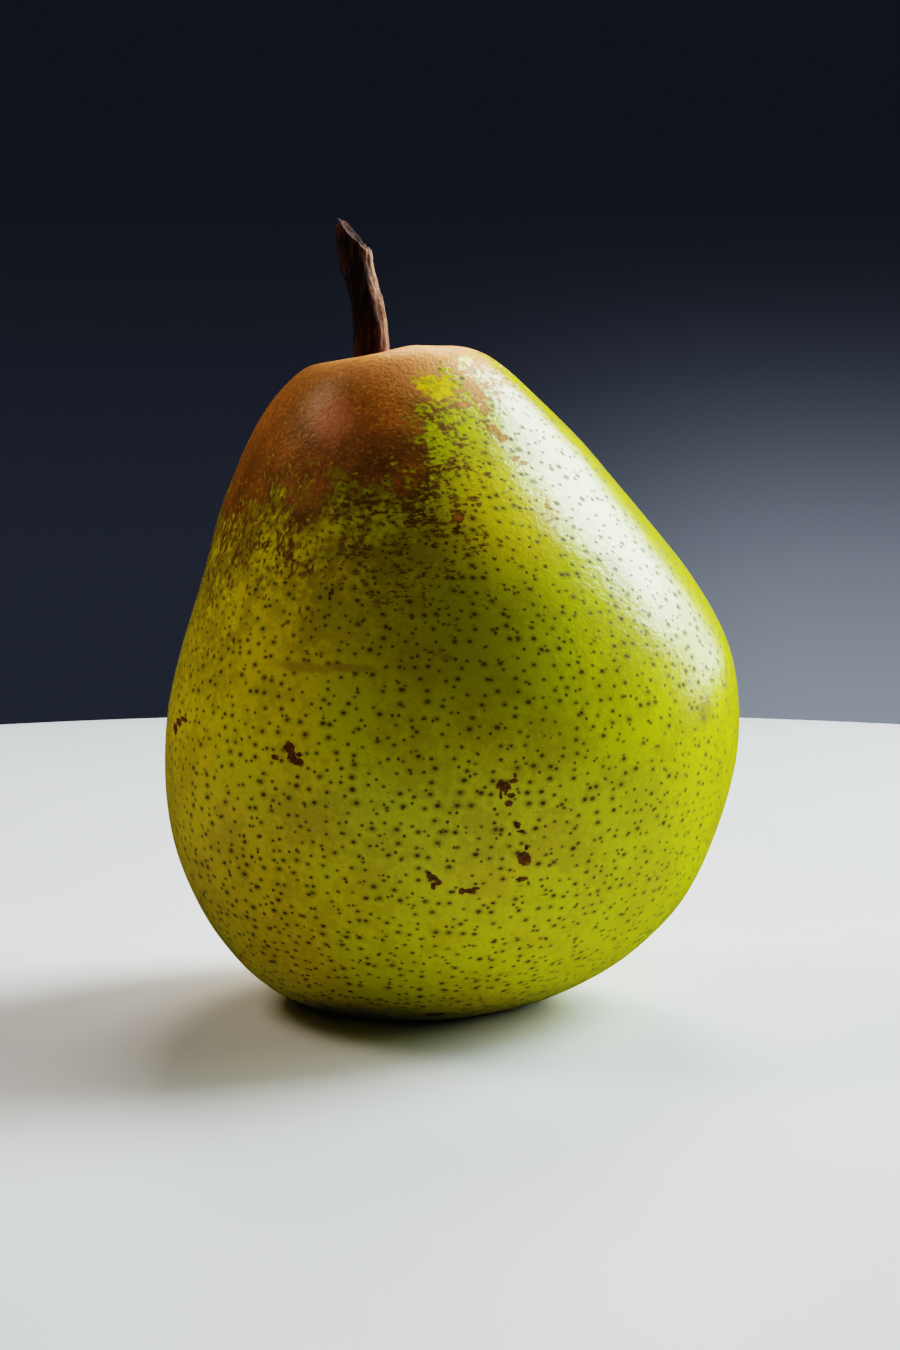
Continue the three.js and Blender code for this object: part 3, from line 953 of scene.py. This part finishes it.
def make_stamen():
    """One withered stamen, which hangs down and ends in a knob."""
    rings = [(Vector((0, 0, 0)), STAMEN_TOP * MM)]
    rings += [
        (Vector((sideways, 0, -drop)) * MM, radius * MM) for sideways, drop, radius in STAMEN_STEPS]
    stamen = build_rings("stamen", STAMEN_AROUND, rings, fill_type="NGON")
    face_outwards()
    bpy.ops.object.mode_set(mode="OBJECT")
    smooth_out(stamen, 1)
    return stamen


def make_calyx():
    """The disc, five sepals round it and the stamens inside, crumpled together."""
    middle = CALYX_MIDDLE.xy.to_3d()
    pieces = [make_disc()]
    sepal = make_sepal()
    for turn, size, lean, roll in SEPALS:
        angle = math.radians(turn)
        foot = Vector((math.cos(angle), math.sin(angle), 0)) * SEPAL_ROOT * MM
        foot.z = SEPAL_HEIGHT * MM
        rotation = (math.radians(roll), math.radians(lean), angle)
        pieces.append(copy_of(sepal, middle + foot, rotation, size))
    discard(sepal)

    stamen = make_stamen()
    random = Random(7)
    for i in range(STAMENS):
        angle = i * GOLDEN_TURN
        reach = STAMEN_SPREAD * MM * math.sqrt((i + 0.5) / STAMENS)
        foot = Vector((reach * math.cos(angle), reach * math.sin(angle), STAMEN_ROOT * MM))
        roll = random.uniform(-STAMEN_LEAN, STAMEN_LEAN)
        lean = random.uniform(-STAMEN_LEAN, STAMEN_LEAN)
        turn = random.uniform(0, STAMEN_TURN)
        size = random.uniform(*STAMEN_SIZES)
        pieces.append(copy_of(stamen, middle + foot, (roll, lean, turn), size))
    discard(stamen)
    calyx = join(pieces)
    roughen(calyx, "crumples", CRUMPLES)
    dress(calyx, calyx_finish(), "calyx")


# Floor, backdrop, lights and camera

FLOOR_AROUND = 64
FLOOR_ROUND = 0.20  # metres from the middle to where the floor starts to fall away
# How its rim falls away: radius, height in metres
FLOOR_FALL = [(0.225, -0.0006), (0.245, -0.003), (0.26, -0.009), (0.268, -0.02), (0.27, -0.05)]
FLOOR_PALE = tint(0.71, 0.70, 0.76)
FLOOR_PALER = tint(0.76, 0.75, 0.80)

BACKDROP_AWAY = 0.9  # metres behind the pear
# Painted light and shade on the glowing backdrop: dim, a blue-grey glow low on the right, dark at
# the top
BACKDROP_DIM = tint(0.024, 0.029, 0.041)
BACKDROP_PAINTED_GLOW = tint(0.23, 0.26, 0.31)
BACKDROP_DARK = tint(0.011, 0.013, 0.019)

LIGHTS_AIM = (0, 0, 0.045)  # metres
LIGHTS_SPREAD = math.radians(70)
# Soft lights: name, place in metres, width and height, power in watts, colour
LIGHTS = [
    ("window", (0.49, 0.33, 0.48), 0.40, 0.44, 1.9, (0.86, 1.0, 0.98)),
    ("low_window", (0.58, 0.38, 0.17), 0.40, 0.22, 0.3, (0.86, 1.0, 0.98)),
    ("wrap", (0.62, 0.12, 0.30), 0.4, 0.4, 0.28, (0.90, 1.0, 0.82)),
    ("back", (0.06, 0.60, 0.54), 0.30, 0.30, 0.35, (1.0, 0.95, 0.92)),
    ("left_fill", (-0.50, 0.16, 0.64), 0.26, 0.26, 0.40, (0.96, 0.88, 0.70)),
]
ROOM_COLOUR = tint(0.6, 0.75, 1.0)
ROOM_STRENGTH = 0.012

CAMERA_PLACE = Vector((0, -500, 112)) * MM
CAMERA_AIM = Vector((0, 0, 39)) * MM
CAMERA_SENSOR = 36  # mm
CAMERA_LENS = 113.9  # mm
CAMERA_SHIFT = -2 / 1350  # two pixels of the frame's height


def pale_floor():
    """Plain and pale, with faint clouds."""
    material, shader, pen = new_finish("pale_floor")
    clouds = grain(in_mm(pen), 60, 2)
    feed(shader, "Base Color", mix(clouds, FLOOR_PALE, FLOOR_PALER))
    feed(shader, "Roughness", 0.42 + (clouds - 0.5) * 0.1)
    return material


def make_floor():
    """A round pale floor whose rim falls away softly."""
    rings = [(Vector((0, 0, 0)), FLOOR_ROUND)]
    rings += [(Vector((0, 0, height)), radius) for radius, height in FLOOR_FALL]
    floor = build_rings("floor", FLOOR_AROUND, rings)
    inside_fall = (FLOOR_ROUND + FLOOR_FALL[0][0]) / 2
    choose(floor, "verts", lambda v: v.co.length < inside_fall)
    bpy.ops.mesh.edge_face_add()
    face_outwards()
    bpy.ops.object.mode_set(mode="OBJECT")
    smooth_out(floor, 2)
    bpy.ops.object.shade_smooth()
    floor.data.materials.append(pale_floor())
    floor.visible_glossy = False


def dim_backdrop():
    """An emissive sheet of painted light and shade: nearly black on the left and at the top,
    glowing blue-grey low on the right.
    """
    material, shader, pen = new_finish("dim_backdrop")
    x, _, z = split(in_mm(pen))
    low_right = fade(x, -60.0, 120.0) * fade_out(z, -150.0, 70.0)
    painted_glow = mix(low_right, BACKDROP_DIM, BACKDROP_PAINTED_GLOW)
    painted_glow = mix(fade(z, -70.0, 90.0) * 0.9, painted_glow, BACKDROP_DARK)
    feed(shader, "Emission Color", painted_glow)
    set_even(shader, {
        "Emission Strength": 1.0, "Base Color": tint(0, 0, 0), "Specular IOR Level": 0.0})
    return material


def make_backdrop():
    """A soft dim sheet behind the pear, glowing with painted light and shade, which lights nothing.
    """
    backdrop = begin(
        bpy.ops.mesh.primitive_grid_add, "backdrop", x_subdivisions=8, y_subdivisions=8, size=1.0)
    bpy.ops.transform.rotate(value=math.radians(90), orient_axis="X", center_override=(0, 0, 0))
    bpy.ops.transform.translate(value=(0, BACKDROP_AWAY, 0))
    bpy.ops.object.mode_set(mode="OBJECT")
    backdrop.data.materials.append(dim_backdrop())
    backdrop.visible_diffuse = False
    backdrop.visible_glossy = False
    backdrop.visible_shadow = False


def aim(thing, target):
    """Turns a light or the camera to look at a place."""
    thing.rotation_euler = (Vector(target) - thing.location).to_track_quat("-Z", "Y").to_euler()


def light_studio():
    """Soft lights, all but the wrap to be seen in the gloss, and a faint blue room."""
    for name, place, width, height, power, colour in LIGHTS:
        bpy.ops.object.light_add(type="AREA", location=place)
        light = bpy.context.object
        light.name = name
        light.data.shape = "RECTANGLE"
        light.data.size = width
        light.data.size_y = height
        light.data.energy = power
        light.data.color = colour
        light.data.spread = LIGHTS_SPREAD
        light.visible_glossy = name != "wrap"
        aim(light, LIGHTS_AIM)
    world = bpy.data.worlds.new("studio")
    world.use_nodes = True
    room = world.node_tree.nodes["Background"]
    room.inputs["Color"].default_value = ROOM_COLOUR
    room.inputs["Strength"].default_value = ROOM_STRENGTH
    bpy.context.scene.world = world
    bpy.context.scene.view_settings.view_transform = "Filmic"
    bpy.context.scene.view_settings.look = "High Contrast"


def place_camera():
    """The camera, a little above the pear and looking slightly down."""
    bpy.ops.object.camera_add(location=CAMERA_PLACE)
    camera = bpy.context.object
    aim(camera, CAMERA_AIM)
    camera.data.sensor_width = CAMERA_SENSOR
    camera.data.lens = CAMERA_LENS
    camera.data.clip_start = 0.01
    camera.data.shift_x = CAMERA_SHIFT
    bpy.context.scene.camera = camera


make_floor()
make_backdrop()
place_camera()
light_studio()
make_fruit()
make_stem()
make_calyx()
